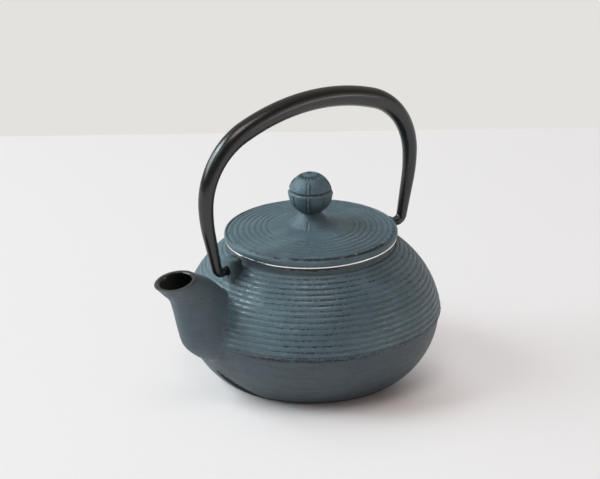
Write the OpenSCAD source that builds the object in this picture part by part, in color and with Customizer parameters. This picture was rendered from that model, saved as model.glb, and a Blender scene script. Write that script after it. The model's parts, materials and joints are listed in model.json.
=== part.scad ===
// Small cast iron teapot with a ringed lid, a ball knob, a swinging bail and a lift-out steel tea basket.
// Frame: the pot's axis is Z, the table is z = 0, the spout points along +X, and the bail swings about X.

/* [Body] */
// Outer diameter at the belly
body_d = 120.4; // [114:0.2:128]
// Height of the pot's rim above the table
rim_z = 64.4; // [62:0.2:70]
// Height of the parting step between the ringed upper half and the smooth bowl
parting_z = 27.8; // [25:0.2:30]
// Radius of the shoulder arc in section
shoulder_r = 44.2; // [42:0.2:47]
// How far below the parting step the shoulder arc would stand upright
belly_drop = 4.3; // [3:0.1:6]
// Radius of the bowl arc in section
bowl_r = 36; // [35:0.2:40]
// How far above the parting step the bowl arc would stand upright
bowl_lift = 1.5; // [0.5:0.1:3]
// How far the upper half overhangs the bowl at the parting step
parting_step = 0.6; // [0.3:0.1:1.2]
// Size of the worn bevel on the lower edge of the upper half
parting_bevel = 0.5; // [0.3:0.1:1]
// Thickness of the casting
wall = 3; // [2.4:0.1:3.6]
// Inner diameter of the mouth
mouth_d = 72.6; // [70:0.2:73]
// Thickness of the neck round the mouth
neck_t = 2.4; // [2:0.1:3]
// Diameter of the flat base
base_d = 88; // [80:1:90]
// Height of the step round the base
base_h = 1.5; // [1:0.1:2.5]

/* [Spout] */
// Distance of the mouth's centre from the belly
spout_reach = 16.3; // [14:0.1:20]
// Depth of the mouth's centre below the pot's rim
spout_drop = 2.1; // [0:0.1:5]
// Outer diameter of the spout's mouth
spout_d = 19.2; // [17:0.1:21]
// Lean of the mouth away from level, in degrees
spout_tilt = 11.4; // [5:0.2:18]
// Half width of the spout at its waist, just below the lip
spout_waist = 8.9; // [8:0.1:9.5]
// Half width of the spout at its root
spout_root = 11.2; // [10:0.1:13]
// Thickness of the spout's wall
spout_wall = 2.1; // [1.8:0.1:2.6]

/* [Lugs] */
// Width of each lug
lug_w = 7.4; // [7:0.2:10]
// Thickness of each lug, outwards
lug_t = 4.5; // [4:0.1:7]
// Gap between the neck and a lug
lug_gap = 4.1; // [3.6:0.1:5]
// Height of a lug's top above the pot's rim
lug_rise = 0.6; // [0.4:0.1:3.5]
// Depth of the bail's axis below the pot's rim
hinge_drop = 4.6; // [3.8:0.1:5]

/* [Bail] */
// Height of the crown's centreline above the bail's axis
bail_rise = 70.7; // [66:0.1:80]
// How far the widest part of the bail stands out from the lug's outer face
bail_flare = 11.2; // [8:0.1:12]
// Radius of the crown
crown_r = 105; // [95:1:130]
// Radius of the two bends beside the crown
bail_bend_r = 33.3; // [30:0.1:36]
// Radius of the curve where a leg turns inwards
leg_r = 65; // [50:1:80]
// Lean of the straight legs, in degrees
leg_lean = 12; // [9:0.5:14]
// Radius of the bend above each pin
pin_bend_r = 3.2; // [3:0.1:4]
// Thickness of the bail at the crown
bail_d = 9.4; // [8:0.1:11]
// Length of the crown on each side that keeps its full thickness
bail_full = 38; // [30:1:50]
// Thickness of the bail above its pins
bail_end_d = 4.6; // [4.4:0.1:5.2]
// Diameter of the pins at the ends of the bail
pin_d = 4; // [3.8:0.1:4.3]
// Radial play of a pin in its lug
pin_clear = 0.3; // [0.2:0.05:0.5]
// How far a pin stands out behind its lug
pin_over = 1; // [0.5:0.1:2]

/* [Lid] */
// How far the lid stands out past the basket's flange
lid_over = 0.4; // [0.2:0.1:1.2]
// Height of the lid's edge
lid_edge = 2.8; // [2.4:0.1:3.4]
// Rise of the lid from its edge to the knob's foot
lid_rise = 3.2; // [2.5:0.1:4.5]
// Thickness of the lid's plate
lid_plate = 3; // [2.5:0.1:3.4]
// Bevel along the lid's upper edge
lid_bevel = 0.7; // [0.4:0.1:1]
// Number of rings on the lid
ring_n = 8; // [6:1:9]
// Distance from ring to ring
ring_pitch = 2.5; // [2:0.1:2.6]
// Depth of the grooves between the rings
ring_depth = 0.5; // [0.2:0.05:0.8]
// Depth of the skirt below the lid's edge
skirt_h = 4.5; // [3:0.1:5]
// Thickness of the skirt
skirt_t = 1.8; // [1.4:0.1:2.4]
// Radial play of the skirt in the basket
skirt_clear = 3.4; // [0.6:0.1:4]

/* [Knob] */
// Diameter of the ball
knob_d = 19.8; // [18:0.1:22]
// Height of the ball's centre above the lid's top
knob_rise = 14.7; // [14:0.1:17]
// Diameter of the conical foot
knob_foot_d = 21.6; // [19:0.2:24]
// Diameter of the neck below the ball
knob_neck_d = 9.4; // [8:0.2:11]
// How far the foot is hollowed below a straight cone
foot_hollow = 0.4; // [0:0.1:1]
// Width of the raised bands round the ball
band_w = 2.2; // [1.6:0.1:3]
// Height of the raised bands
band_h = 0.35; // [0.2:0.05:0.6]
// Height of the belt's middle above the ball's centre
belt_lift = 0.4; // [0:0.1:2]
// Turn of the upright bands away from the spout, in degrees
band_turn = 47; // [0:1:90]
// Diameter of the tenon through the lid
tenon_d = 6; // [5:0.1:7]
// Radial play of the tenon in the lid and the washer
tenon_clear = 0.1; // [0.05:0.05:0.2]
// Outer diameter of the washer below the lid
washer_d = 14; // [11:0.5:18]
// Thickness of the washer
washer_t = 1.2; // [0.8:0.1:1.6]
// Height of the peened head below the washer
peen_h = 1.4; // [1:0.1:2]

/* [Infuser] */
// How far the flange that lies on the pot's rim stands out past the neck
flange_over = 0.9; // [0.4:0.1:1.2]
// Thickness of the flange
flange_t = 0.8; // [0.6:0.1:1.2]
// Thickness of the steel sheet of the collar, band and hem
sheet_t = 0.5; // [0.4:0.05:0.6]
// Thickness of the mesh
mesh_t = 0.4; // [0.3:0.05:0.5]
// Radial play of the collar in the pot's mouth
collar_clear = 0.5; // [0.3:0.05:0.8]
// Depth of the collar below the flange
collar_h = 6; // [5:0.2:9]
// Depth of the basket below the flange
basket_h = 45; // [38:0.5:48]
// Height of the hem round the basket's bottom
hem_h = 3; // [2:0.1:5]
// Gap between the sheets that are pressed together
sheet_gap = 0.02; // [0.01:0.01:0.05]

/* [Hidden] */
$fn = 96;

// Colours of the finishes
iron_paint = "#66787d";
bail_black = "#222222";
steel = "#c9cccd";
dark_iron = "#4a5053";

// Small overlap that lets a cut or a joint run past a face
past = 0.5;

// Body in section
body_r = body_d / 2;
arc_steps = 20;
shoulder_c = [body_r - shoulder_r, parting_z - belly_drop];
part_r = shoulder_c.x + sqrt(pow(shoulder_r, 2) - pow(belly_drop, 2));
bowl_part_r = part_r - parting_bevel - parting_step;
bowl_c = [bowl_part_r - sqrt(pow(bowl_r, 2) - pow(bowl_lift, 2)), parting_z + bowl_lift];
bowl_in_r = bowl_r - wall;
shoulder_in_r = shoulder_r - wall;
in_part_r = bowl_c.x + sqrt(pow(bowl_in_r, 2) - pow(bowl_lift, 2));
shoulder_in_c = [in_part_r - sqrt(pow(shoulder_in_r, 2) - pow(belly_drop, 2)), shoulder_c.y];
floor_z = base_h + wall;

// Neck, flange and lid, each from the one inside it
neck_r = mouth_d / 2 + neck_t;
flange_r = neck_r + flange_over;
lid_r = flange_r + lid_over;

// Stack on the pot's rim
seat_z = rim_z + flange_t;
lid_top_z = seat_z + lid_edge;
hub_z = lid_top_z + lid_rise;
hinge_z = rim_z - hinge_drop;

// Lugs and bail
lug_in = neck_r + lug_gap;
lug_out = lug_in + lug_t;
lug_top_z = rim_z + lug_rise;
hole_d = pin_d + 2 * pin_clear;
bail_reach = lug_out + bail_flare;
crown_z = hinge_z + bail_rise;
crown_turn = asin((bail_reach - bail_bend_r) / (crown_r - bail_bend_r));
crown_end = [crown_r * sin(crown_turn), crown_z - crown_r * (1 - cos(crown_turn))];
wide_z = crown_end.y - bail_bend_r * cos(crown_turn);
leg_top = [bail_reach - leg_r * (1 - cos(leg_lean)), wide_z - leg_r * sin(leg_lean)];
leg_end_z = hinge_z + pin_bend_r * (1 - sin(leg_lean));
leg_end = [leg_top.x - (leg_top.y - leg_end_z) * tan(leg_lean), leg_end_z];
pin_start = leg_end.x - pin_bend_r * cos(leg_lean);
pin_end = lug_in - pin_over;

// Lid, skirt and basket radii
collar_out = mouth_d / 2 - collar_clear;
collar_in = collar_out - sheet_t;
mesh_out = collar_in - sheet_gap;
mesh_in = mesh_out - mesh_t;
band_out = mesh_in - sheet_gap;
band_in = band_out - sheet_t;
skirt_out = band_in - skirt_clear;
skirt_in = skirt_out - skirt_t;
ring_out = lid_r - lid_bevel;
hub_r = knob_foot_d / 2;
basket_z = rim_z - basket_h;

// Points on an arc about c from angle a to angle b
function arc(c, r, a, b, n = arc_steps) =
    [for (i = [0 : n]) let (t = a + (b - a) * i / n) [c.x + r * cos(t), c.y + r * sin(t)]];

// Angle at which an arc about c reaches the height z, and the angle at which it reaches the radius x
function at_height(c, r, z) = asin((z - c.y) / r);
function at_radius(c, r, x) = acos((x - c.x) / r);

// Section of the body's outside, from the base to the rim
function body_outside() = concat(
    [[0, 0], [base_d / 2, 0], [base_d / 2, base_h]],
    arc(bowl_c, bowl_r, at_height(bowl_c, bowl_r, base_h), at_height(bowl_c, bowl_r, parting_z)),
    [[part_r - parting_bevel, parting_z], [part_r, parting_z + 2 * parting_bevel]],
    arc(shoulder_c, shoulder_r, at_height(shoulder_c, shoulder_r, parting_z + 3 * parting_bevel),
        at_radius(shoulder_c, shoulder_r, neck_r)),
    [[neck_r, rim_z], [0, rim_z]]);

// Section of the room inside the body
function body_inside() = concat(
    [[0, floor_z]],
    arc(bowl_c, bowl_in_r, at_height(bowl_c, bowl_in_r, floor_z), at_height(bowl_c, bowl_in_r, parting_z)),
    arc(shoulder_in_c, shoulder_in_r, at_height(shoulder_in_c, shoulder_in_r, parting_z + parting_bevel),
        at_radius(shoulder_in_c, shoulder_in_r, mouth_d / 2)),
    [[mouth_d / 2, rim_z + past], [0, rim_z + past]]);

// Spout: the front and back outlines in the plane y = 0, as offsets from the belly and depths below the rim
spout_c = [body_r + spout_reach, rim_z - spout_drop];
spout_lean = [cos(spout_tilt), -sin(spout_tilt)];
spout_up = [sin(spout_tilt), cos(spout_tilt)];
front_tip = spout_c + spout_d / 2 * spout_lean;
back_tip = spout_c - spout_d / 2 * spout_lean;
front_line = [front_tip, below_rim(22.6, 7.4), below_rim(18.1, 12.4), below_rim(15.8, 19.9), below_rim(13.9, 28.4),
              below_rim(11.1, 36.4), below_rim(2.6, 43.9), below_rim(-7, 48)];
back_line = [back_tip, below_rim(2.6, 2.6), below_rim(-2.5, 5.8), below_rim(-11.7, 14.4), below_rim(-16.5, 19)];
spout_sides = 28;
spout_rings = 14;
function below_rim(x, z) = [body_r + x, rim_z - z];

// Point at the share t of a smooth curve through the points p
function smooth(p, t) =
    let (n = len(p) - 1, k = min(floor(t * n), n - 1), u = t * n - k,
         a = p[max(k - 1, 0)], b = p[k], c = p[k + 1], d = p[min(k + 2, n)])
    0.5 * (2 * b + (c - a) * u + (2 * a - 5 * b + 4 * c - d) * u * u + (3 * b - a - 3 * c + d) * u * u * u);

// Half width of the spout at the share t from its mouth to its root
function spout_half(t) = t < 0.2
    ? spout_d / 2 + (spout_waist - spout_d / 2) * sin(90 * t / 0.2)
    : spout_waist + (spout_root - spout_waist) * (1 - cos(90 * (t - 0.2) / 0.8));

// One ring of the spout, drawn in by the thickness inset and moved by the step shift along the mouth's axis
function spout_ring(t, inset, shift = 0) =
    let (f = smooth(front_line, t) + shift * spout_up, b = smooth(back_line, t) + shift * spout_up,
         mid = (f + b) / 2, half = (f - b) / 2, long = norm(half), dir = half / long)
    [for (i = [0 : spout_sides - 1]) let (a = 360 * i / spout_sides, h = (long - inset) * cos(a))
        [mid.x + dir.x * h, (spout_half(t) - inset) * sin(a), mid.y + dir.y * h]];

// Closed skin over a list of rings that all have the same number of points
module skin(rings) {
    n = len(rings[0]);
    last = len(rings) - 1;
    sides = [for (k = [0 : last - 1], i = [0 : n - 1]) let (j = (i + 1) % n)
        each [[k * n + i, k * n + j, (k + 1) * n + i], [k * n + j, (k + 1) * n + j, (k + 1) * n + i]]];
    caps = [for (i = [1 : n - 2]) each [[0, i + 1, i], [last * n, last * n + i, last * n + i + 1]]];
    polyhedron(points = [for (r = rings) each r], faces = concat(sides, caps));
}

module spout_outside() {
    skin([for (k = [0 : spout_rings]) spout_ring(k / spout_rings, 0)]);
}

module spout_bore() {
    skin(concat([spout_ring(0, spout_wall, past)],
                [for (k = [1 : spout_rings]) spout_ring(k / spout_rings, spout_wall)]));
}

// Outline of a lug in the plane x = 0, with a round top
module lug_outline() {
    low = shoulder_c.y + shoulder_r / 2;
    translate([0, lug_top_z - lug_w / 2]) circle(d = lug_w);
    translate([-lug_w / 2, low]) square([lug_w, lug_top_z - lug_w / 2 - low]);
}

module lug() {
    translate([lug_in, 0, 0]) rotate([90, 0, 90]) linear_extrude(lug_t) lug_outline();
}

// Drilled from outside, so the drill also marks the shoulder behind the lug and leaves room for the pin's end
module lug_hole() {
    drill_in = pin_end - past;
    translate([drill_in, 0, hinge_z]) rotate([0, 90, 0]) cylinder(d = hole_d, h = lug_out + past - drill_in);
}

module both_sides() {
    children();
    mirror([1, 0, 0]) children();
}

// Pot, spout and lugs, cast in one piece
module pot_body() {
    color(iron_paint) difference() {
        union() {
            rotate_extrude() polygon(body_outside());
            spout_outside();
            both_sides() lug();
        }
        rotate_extrude() polygon(body_inside());
        spout_bore();
        both_sides() lug_hole();
    }
}

// Height of the lid's plain top at the radius r, and the same with the rings
function lid_slope(r) = lid_top_z + lid_rise * (lid_r - r) / (lid_r - hub_r);
function lid_ring(r) = lid_slope(r) - ring_depth * (1 - cos(360 * (ring_out - r) / ring_pitch)) / 2;
ring_points = 6;
lid_hole_d = tenon_d + 2 * tenon_clear;

module lid() {
    ring_in = ring_out - ring_n * ring_pitch;
    rings = [for (i = [0 : ring_n * ring_points]) let (r = ring_out - i * ring_pitch / ring_points) [r, lid_ring(r)]];
    color(iron_paint) rotate_extrude() polygon(concat(
        [[lid_r, seat_z], [lid_r, lid_top_z - lid_bevel]],
        rings,
        [[ring_in - ring_pitch / 2, lid_slope(ring_in - ring_pitch / 2)], [hub_r, hub_z], [lid_hole_d / 2, hub_z],
         [lid_hole_d / 2, hub_z - lid_plate], [hub_r, hub_z - lid_plate], [skirt_in, lid_slope(skirt_in) - lid_plate],
         [skirt_in, seat_z - skirt_h], [skirt_out, seat_z - skirt_h], [skirt_out, seat_z]]));
}

// Ball, conical foot and tenon of the knob
knob_z = hub_z + knob_rise;
knob_neck_z = knob_z - sqrt(pow(knob_d / 2, 2) - pow(knob_neck_d / 2, 2));
peen_z = hub_z - lid_plate - washer_t;
foot_points = 10;

module knob() {
    cone = [for (i = [0 : foot_points]) let (s = i / foot_points, cut = foot_hollow * sin(180 * s))
        [hub_r - (hub_r - knob_neck_d / 2) * s - cut, hub_z + (knob_neck_z - hub_z) * s - cut]];
    color(iron_paint) {
        rotate_extrude() polygon(concat(
            [[0, peen_z - peen_h], [tenon_d / 2, peen_z - peen_h], [tenon_d / 2 + peen_h / 2, peen_z],
             [tenon_d / 2, peen_z], [tenon_d / 2, hub_z]],
            cone,
            [[knob_neck_d / 2, knob_z], [0, knob_z]]));
        translate([0, 0, knob_z]) sphere(d = knob_d);
        translate([0, 0, knob_z]) intersection() {
            sphere(d = knob_d + 2 * band_h);
            union() {
                translate([0, 0, belt_lift]) cube([knob_d * 2, knob_d * 2, band_w], center = true);
                rotate(band_turn) cube([knob_d * 2, band_w, knob_d * 2], center = true);
                rotate(band_turn) cube([band_w, knob_d * 2, knob_d * 2], center = true);
            }
        }
    }
}

module knob_washer() {
    color(dark_iron) translate([0, 0, peen_z]) difference() {
        cylinder(d = washer_d, h = washer_t);
        translate([0, 0, -past]) cylinder(d = lid_hole_d, h = washer_t + 2 * past);
    }
}

// Centreline of one half of the bail in the plane y = 0, from the crown down to the pin, as [x, z, heading]
crown_steps = 8;
bend_steps = 14;
leg_steps = 5;
foot_steps = 8;
function half_bail() = concat(
    [for (i = [1 : crown_steps]) let (a = crown_turn * i / crown_steps)
        [crown_r * sin(a), crown_z - crown_r * (1 - cos(a)), a]],
    [for (i = [1 : bend_steps]) let (a = crown_turn + (90 - crown_turn) * i / bend_steps)
        [bail_reach - bail_bend_r * (1 - sin(a)), wide_z + bail_bend_r * cos(a), a]],
    [for (i = [1 : leg_steps]) let (a = leg_lean * i / leg_steps)
        [bail_reach - leg_r * (1 - cos(a)), wide_z - leg_r * sin(a), 90 + a]],
    [for (i = [0 : foot_steps]) let (a = leg_lean + (90 - leg_lean) * i / foot_steps)
        [pin_start + pin_bend_r * cos(a), hinge_z + pin_bend_r * (1 - sin(a)), 90 + a]]);

// Running length of the centreline from the crown's middle to each point of half
function lengths(half, i = 0, sum = 0) = i == len(half) ? [] :
    let (p = i == 0 ? [0, crown_z] : [half[i - 1].x, half[i - 1].y],
         s = sum + norm([half[i].x, half[i].y] - p))
    concat([s], lengths(half, i + 1, s));

bail_half = half_bail();
bail_run = lengths(bail_half);
bail_taper = bail_run[len(bail_run) - 1] - bail_full;
function bail_thick(s) = s < bail_full ? bail_d : bail_d - (bail_d - bail_end_d) * (s - bail_full) / bail_taper;

bail_sides = 20;
function bail_ring(p, d, side) = [for (i = [0 : bail_sides - 1]) let (a = 360 * i / bail_sides, h = d / 2 * cos(a))
    [side * (p[0] + h * sin(p[2])), d / 2 * sin(a), p[1] + h * cos(p[2])]];
bail_last = len(bail_half) - 1;

module bail_handle() {
    color(bail_black) {
        skin(concat(
            [for (k = [0 : bail_last]) bail_ring(bail_half[bail_last - k], bail_thick(bail_run[bail_last - k]), -1)],
            [bail_ring([0, crown_z, 0], bail_d, 1)],
            [for (k = [0 : bail_last]) bail_ring(bail_half[k], bail_thick(bail_run[k]), 1)]));
        both_sides() translate([pin_end, 0, hinge_z]) rotate([0, 90, 0]) cylinder(d = pin_d, h = pin_start - pin_end + past);
    }
}

// Ring with a rectangular section
module ring(outer, inner, z, h) {
    translate([0, 0, z]) rotate_extrude() translate([inner, 0]) square([outer - inner, h]);
}

module infuser_rim() {
    color(steel) rotate_extrude() polygon([[collar_in, rim_z - collar_h], [collar_out, rim_z - collar_h],
        [collar_out, rim_z], [flange_r, rim_z], [flange_r, seat_z], [collar_in, seat_z]]);
}

module infuser_wall() {
    color(steel) ring(mesh_out, mesh_in, basket_z, basket_h - sheet_gap);
}

module infuser_band() {
    color(steel) ring(band_out, band_in, rim_z - collar_h, collar_h - sheet_gap);
}

module infuser_base() {
    color(steel) translate([0, 0, basket_z]) cylinder(r = mesh_in - sheet_gap, h = mesh_t);
}

module infuser_hem() {
    hem_in = mesh_in - 2 * sheet_t;
    hem_out = mesh_out + sheet_gap;
    color(steel) rotate_extrude() polygon([[hem_in, basket_z - sheet_t - sheet_gap],
        [hem_out + sheet_t, basket_z - sheet_t - sheet_gap], [hem_out + sheet_t, basket_z + hem_h],
        [hem_out, basket_z + hem_h], [hem_out, basket_z - sheet_gap], [hem_in, basket_z - sheet_gap]]);
}

pot_body();
lid();
knob();
knob_washer();
bail_handle();
infuser_rim();
infuser_wall();
infuser_band();
infuser_base();
infuser_hem();
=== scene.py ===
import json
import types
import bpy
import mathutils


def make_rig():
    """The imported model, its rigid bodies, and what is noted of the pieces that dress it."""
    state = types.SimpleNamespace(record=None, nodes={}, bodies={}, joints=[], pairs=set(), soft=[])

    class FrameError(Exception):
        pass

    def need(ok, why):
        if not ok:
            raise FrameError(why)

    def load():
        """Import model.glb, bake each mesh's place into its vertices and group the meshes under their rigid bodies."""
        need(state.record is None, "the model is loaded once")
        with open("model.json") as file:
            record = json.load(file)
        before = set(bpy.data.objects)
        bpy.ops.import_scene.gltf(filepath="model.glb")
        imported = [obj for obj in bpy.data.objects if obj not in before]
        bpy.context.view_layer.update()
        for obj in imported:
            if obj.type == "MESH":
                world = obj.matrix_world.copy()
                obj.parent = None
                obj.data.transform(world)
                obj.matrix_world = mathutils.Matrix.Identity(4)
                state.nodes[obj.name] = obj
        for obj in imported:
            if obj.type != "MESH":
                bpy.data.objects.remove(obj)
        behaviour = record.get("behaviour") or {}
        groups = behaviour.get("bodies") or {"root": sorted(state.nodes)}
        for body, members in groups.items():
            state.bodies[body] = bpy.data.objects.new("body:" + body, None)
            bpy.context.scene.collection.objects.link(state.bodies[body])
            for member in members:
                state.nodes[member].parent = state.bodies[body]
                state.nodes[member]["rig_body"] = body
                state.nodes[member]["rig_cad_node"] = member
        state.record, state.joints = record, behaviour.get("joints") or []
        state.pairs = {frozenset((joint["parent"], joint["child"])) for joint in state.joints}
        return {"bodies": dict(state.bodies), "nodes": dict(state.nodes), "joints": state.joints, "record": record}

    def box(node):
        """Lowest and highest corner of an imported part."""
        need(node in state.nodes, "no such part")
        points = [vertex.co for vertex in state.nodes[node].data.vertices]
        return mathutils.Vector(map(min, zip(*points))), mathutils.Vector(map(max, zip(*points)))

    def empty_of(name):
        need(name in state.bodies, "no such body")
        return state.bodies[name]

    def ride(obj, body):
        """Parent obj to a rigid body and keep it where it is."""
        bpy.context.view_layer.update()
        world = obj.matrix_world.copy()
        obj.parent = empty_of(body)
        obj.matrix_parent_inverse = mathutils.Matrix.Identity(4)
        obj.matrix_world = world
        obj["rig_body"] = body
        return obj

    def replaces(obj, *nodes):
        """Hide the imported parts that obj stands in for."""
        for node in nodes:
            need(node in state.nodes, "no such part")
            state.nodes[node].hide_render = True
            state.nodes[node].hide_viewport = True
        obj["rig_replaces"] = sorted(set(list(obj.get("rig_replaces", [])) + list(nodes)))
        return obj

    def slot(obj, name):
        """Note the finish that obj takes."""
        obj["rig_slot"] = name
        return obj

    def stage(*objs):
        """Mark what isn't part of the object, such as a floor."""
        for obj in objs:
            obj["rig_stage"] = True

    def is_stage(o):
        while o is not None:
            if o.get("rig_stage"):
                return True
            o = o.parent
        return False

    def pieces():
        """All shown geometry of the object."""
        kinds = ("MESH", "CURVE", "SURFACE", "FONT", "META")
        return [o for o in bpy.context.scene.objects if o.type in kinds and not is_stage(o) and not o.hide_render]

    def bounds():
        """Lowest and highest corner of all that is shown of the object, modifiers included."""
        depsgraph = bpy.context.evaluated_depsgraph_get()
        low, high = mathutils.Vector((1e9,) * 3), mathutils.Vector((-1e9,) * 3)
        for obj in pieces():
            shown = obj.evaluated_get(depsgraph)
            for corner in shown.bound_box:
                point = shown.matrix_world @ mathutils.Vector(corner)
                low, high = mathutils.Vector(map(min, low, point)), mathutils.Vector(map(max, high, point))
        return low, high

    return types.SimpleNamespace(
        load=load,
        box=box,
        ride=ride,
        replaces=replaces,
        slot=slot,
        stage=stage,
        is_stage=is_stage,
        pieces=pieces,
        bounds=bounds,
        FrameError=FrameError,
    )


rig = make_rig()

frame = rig.load()

import json
import math

import bpy
from mathutils import Quaternion, Vector
from mathutils.kdtree import KDTree

CAD_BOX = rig.bounds()
MM = 0.001


def box_mm(node):
    """Lowest and highest corner of a CAD node, in millimetres."""
    low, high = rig.box(node)
    return Vector(low) / MM, Vector(high) / MM


# Places that the CAD frame gives, in millimetres
LID_LOW, LID_HIGH = box_mm("lid")
FLANGE_LOW, FLANGE_HIGH = box_mm("infuser_rim")
WALL_LOW, WALL_HIGH = box_mm("infuser_wall")
BAND_LOW, BAND_HIGH = box_mm("infuser_band")
HEM_LOW, HEM_HIGH = box_mm("infuser_hem")
SIEVE_LOW, SIEVE_HIGH = box_mm("infuser_base")
WASHER_LOW, WASHER_HIGH = box_mm("knob_washer")
JOINTS = {joint["name"]: joint for joint in frame["joints"]}
HINGE_Z = JOINTS["bail_swing"]["pos_m"][2] / MM

# Body of the pot in section, in millimetres
FLANGE_T = 0.8
SEAT_Z = FLANGE_HIGH.z
RIM_Z = SEAT_Z - FLANGE_T
BODY_R = 60.2
PARTING_Z = 27.8
SHOULDER_R = 44.2
BELLY_DROP = 4.3
BOWL_R = 36.0
BOWL_LIFT = 1.5
LIP_STEP = 0.6
LIP_BEVEL = 0.5
WALL_T = 3.0
NECK_R = 38.7
MOUTH_R = 36.3
BASE_R = 44.0
BASE_H = 1.5
EDGE = 0.35
SHOULDER_C = (BODY_R - SHOULDER_R, PARTING_Z - BELLY_DROP)
LIP_R = SHOULDER_C[0] + math.sqrt(SHOULDER_R ** 2 - BELLY_DROP ** 2)
BOWL_TOP_R = LIP_R - LIP_BEVEL - LIP_STEP
BOWL_C = (BOWL_TOP_R - math.sqrt(BOWL_R ** 2 - BOWL_LIFT ** 2), PARTING_Z + BOWL_LIFT)
BOWL_IN_R = BOWL_R - WALL_T
SHOULDER_IN_R = SHOULDER_R - WALL_T
ROOM_PART_R = BOWL_C[0] + math.sqrt(BOWL_IN_R ** 2 - BOWL_LIFT ** 2)
SHOULDER_IN_C = (ROOM_PART_R - math.sqrt(SHOULDER_IN_R ** 2 - BELLY_DROP ** 2), SHOULDER_C[1])
FLOOR_Z = BASE_H + WALL_T

# Dull dark streak low on the bowl
STREAK_TOP = 13.6
STREAK_FALL = 0.60
STREAK_W = 7.0
STREAK_END = 20.0
STREAK_MARGIN = 1.35

# Cast rings round the shoulder
BODY_RINGS = 15
BODY_RING_DEPTH = 0.30

# Spout: outlines in the plane y = 0, as offsets from the belly and depths below the rim
SPOUT_REACH = 16.3
SPOUT_DROP = 2.1
SPOUT_R = 9.6
SPOUT_TILT = math.radians(11.4)
SPOUT_WAIST = 8.9
SPOUT_ROOT = 11.2
SPOUT_WALL = 2.1
SPOUT_FRONT = [(22.6, 7.4), (18.1, 12.4), (15.8, 19.9), (13.9, 28.4), (11.1, 36.4), (2.6, 43.9), (-7.0, 48.0)]
SPOUT_BACK = [(2.6, 2.6), (-2.5, 5.8), (-11.7, 14.4), (-16.5, 19.0)]
SPOUT_SIDES = 64
SPOUT_C = Vector((BODY_R + SPOUT_REACH, RIM_Z - SPOUT_DROP))
SPOUT_LEAN = Vector((math.cos(SPOUT_TILT), -math.sin(SPOUT_TILT)))
SPOUT_UP = Vector((math.sin(SPOUT_TILT), math.cos(SPOUT_TILT)))
SPOUT_RINGS = 36

# Lugs, on the spout's side and on the far side
LUG_W = 7.4
LUG_T = {1: 5.8, -1: 4.5}
LUG_ROUND = {1: 1.6, -1: 3.6}
LUG_IN = NECK_R + 4.1
LUG_INSET = {1: 0.9, -1: 0.0}
LUG_TOP_Z = {1: RIM_Z + 1.0, -1: RIM_Z - 1.6}
PIN_R = 2.0
HOLE_R = 2.3

# Bail
BAIL_REACH = 58.5
CROWN_R = 105.0
BEND_R = 33.3
LEG_R = 65.0
LEG_LEAN = math.radians(12)
PIN_BEND_R = 3.2
BAIL_D = 9.4
CROWN_Z = box_mm("bail_handle")[1].z - BAIL_D / 2
BAIL_FULL = 38.0
BAIL_END_D = 4.6
PIN_END = LUG_IN - 1.0
BAIL_SIDES = 40

# Tea basket
SHEET_T = 0.5
SHEET_GAP = 0.02
FLANGE_ROLL = 0.18
WIRE_T = 0.28
WEAVE_RISE = 0.07
WALL_COLUMNS = 220
WALL_ROWS = 44
BASE_CELLS = 68

# Lid
LID_R = LID_HIGH.x
LID_TOP_Z = SEAT_Z + 2.8
HUB_Z = LID_HIGH.z
LID_RINGS = 8
LID_PITCH = 2.64
LID_RING_DEPTH = 0.36
EDGE_GROOVE_R = LID_R - 1.4
EDGE_GROOVE_DEPTH = 0.75
LID_PLATE = 3.0
SKIRT_PLAY = 3.4
SKIRT_OUT = BAND_HIGH.x - SHEET_T - SKIRT_PLAY
SKIRT_IN = SKIRT_OUT - 1.8
TENON_R = 3.0
TENON_HOLE_R = 3.1

# Knob
BALL_R = 9.9
BALL_Z = HUB_Z + 14.7
KNOB_NECK_R = 4.7
FOOT_R = 10.8
FOOT_HOLLOW = 0.4
BELT_Z = 2.0
BELT_W = 0.55
BELT_DEPTH = 0.5
RIDGE_DROP = 1.6
RIDGE_W = 1.1
RIDGE_RISE = 0.22
RIB_TURN = math.radians(47)
RIBS = 4
LOW_GROOVES = 8
DIMPLES = 20
DIMPLE_RING = math.radians(28)
FOOT_FILLET = 1.4
PEEN_H = 1.4

# Number of steps round the axis, and along the knob
TURN_BODY = 360
TURN_LID = 256
TURN_KNOB = 288
TURN_ROOM = 128
TURN_WASHER = 96
FOOT_STEPS = 24
BALL_STEPS = 84
MERGE = 0.004 * MM


def arc(centre, radius, start, end, steps):
    """Points on an arc in section, as (radius, height), from one angle to another."""
    points = []
    for i in range(steps + 1):
        a = start + (end - start) * i / steps
        points.append((centre[0] + radius * math.cos(a), centre[1] + radius * math.sin(a)))
    return points


def angle_at_height(centre, radius, height):
    return math.asin((height - centre[1]) / radius)


def angle_at_radius(centre, radius, reach):
    return math.acos((reach - centre[0]) / radius)


RING_START = angle_at_height(SHOULDER_C, SHOULDER_R, PARTING_Z + 3 * LIP_BEVEL)
RING_END = angle_at_radius(SHOULDER_C, SHOULDER_R, NECK_R)
BODY_PITCH = (RING_END - RING_START) * SHOULDER_R / BODY_RINGS
NECK_Z = SHOULDER_C[1] + SHOULDER_R * math.sin(RING_END)


# Hand tools

def clear_selection():
    if bpy.context.mode != "OBJECT":
        bpy.ops.object.mode_set(mode="OBJECT")
    bpy.ops.object.select_all(action="DESELECT")


def take(piece):
    """Makes one object the selected and active one."""
    clear_selection()
    piece.select_set(True)
    bpy.context.view_layer.objects.active = piece


def open_mesh(piece):
    """Opens the piece in edit mode, with all of it selected."""
    take(piece)
    bpy.ops.object.mode_set(mode="EDIT")
    bpy.ops.mesh.select_all(action="SELECT")


def close_mesh():
    bpy.ops.object.mode_set(mode="OBJECT")


def settle(piece):
    """Puts the piece's place, turn and scale into its mesh."""
    take(piece)
    bpy.ops.object.transform_apply(location=True, rotation=True, scale=True)
    return piece


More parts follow.
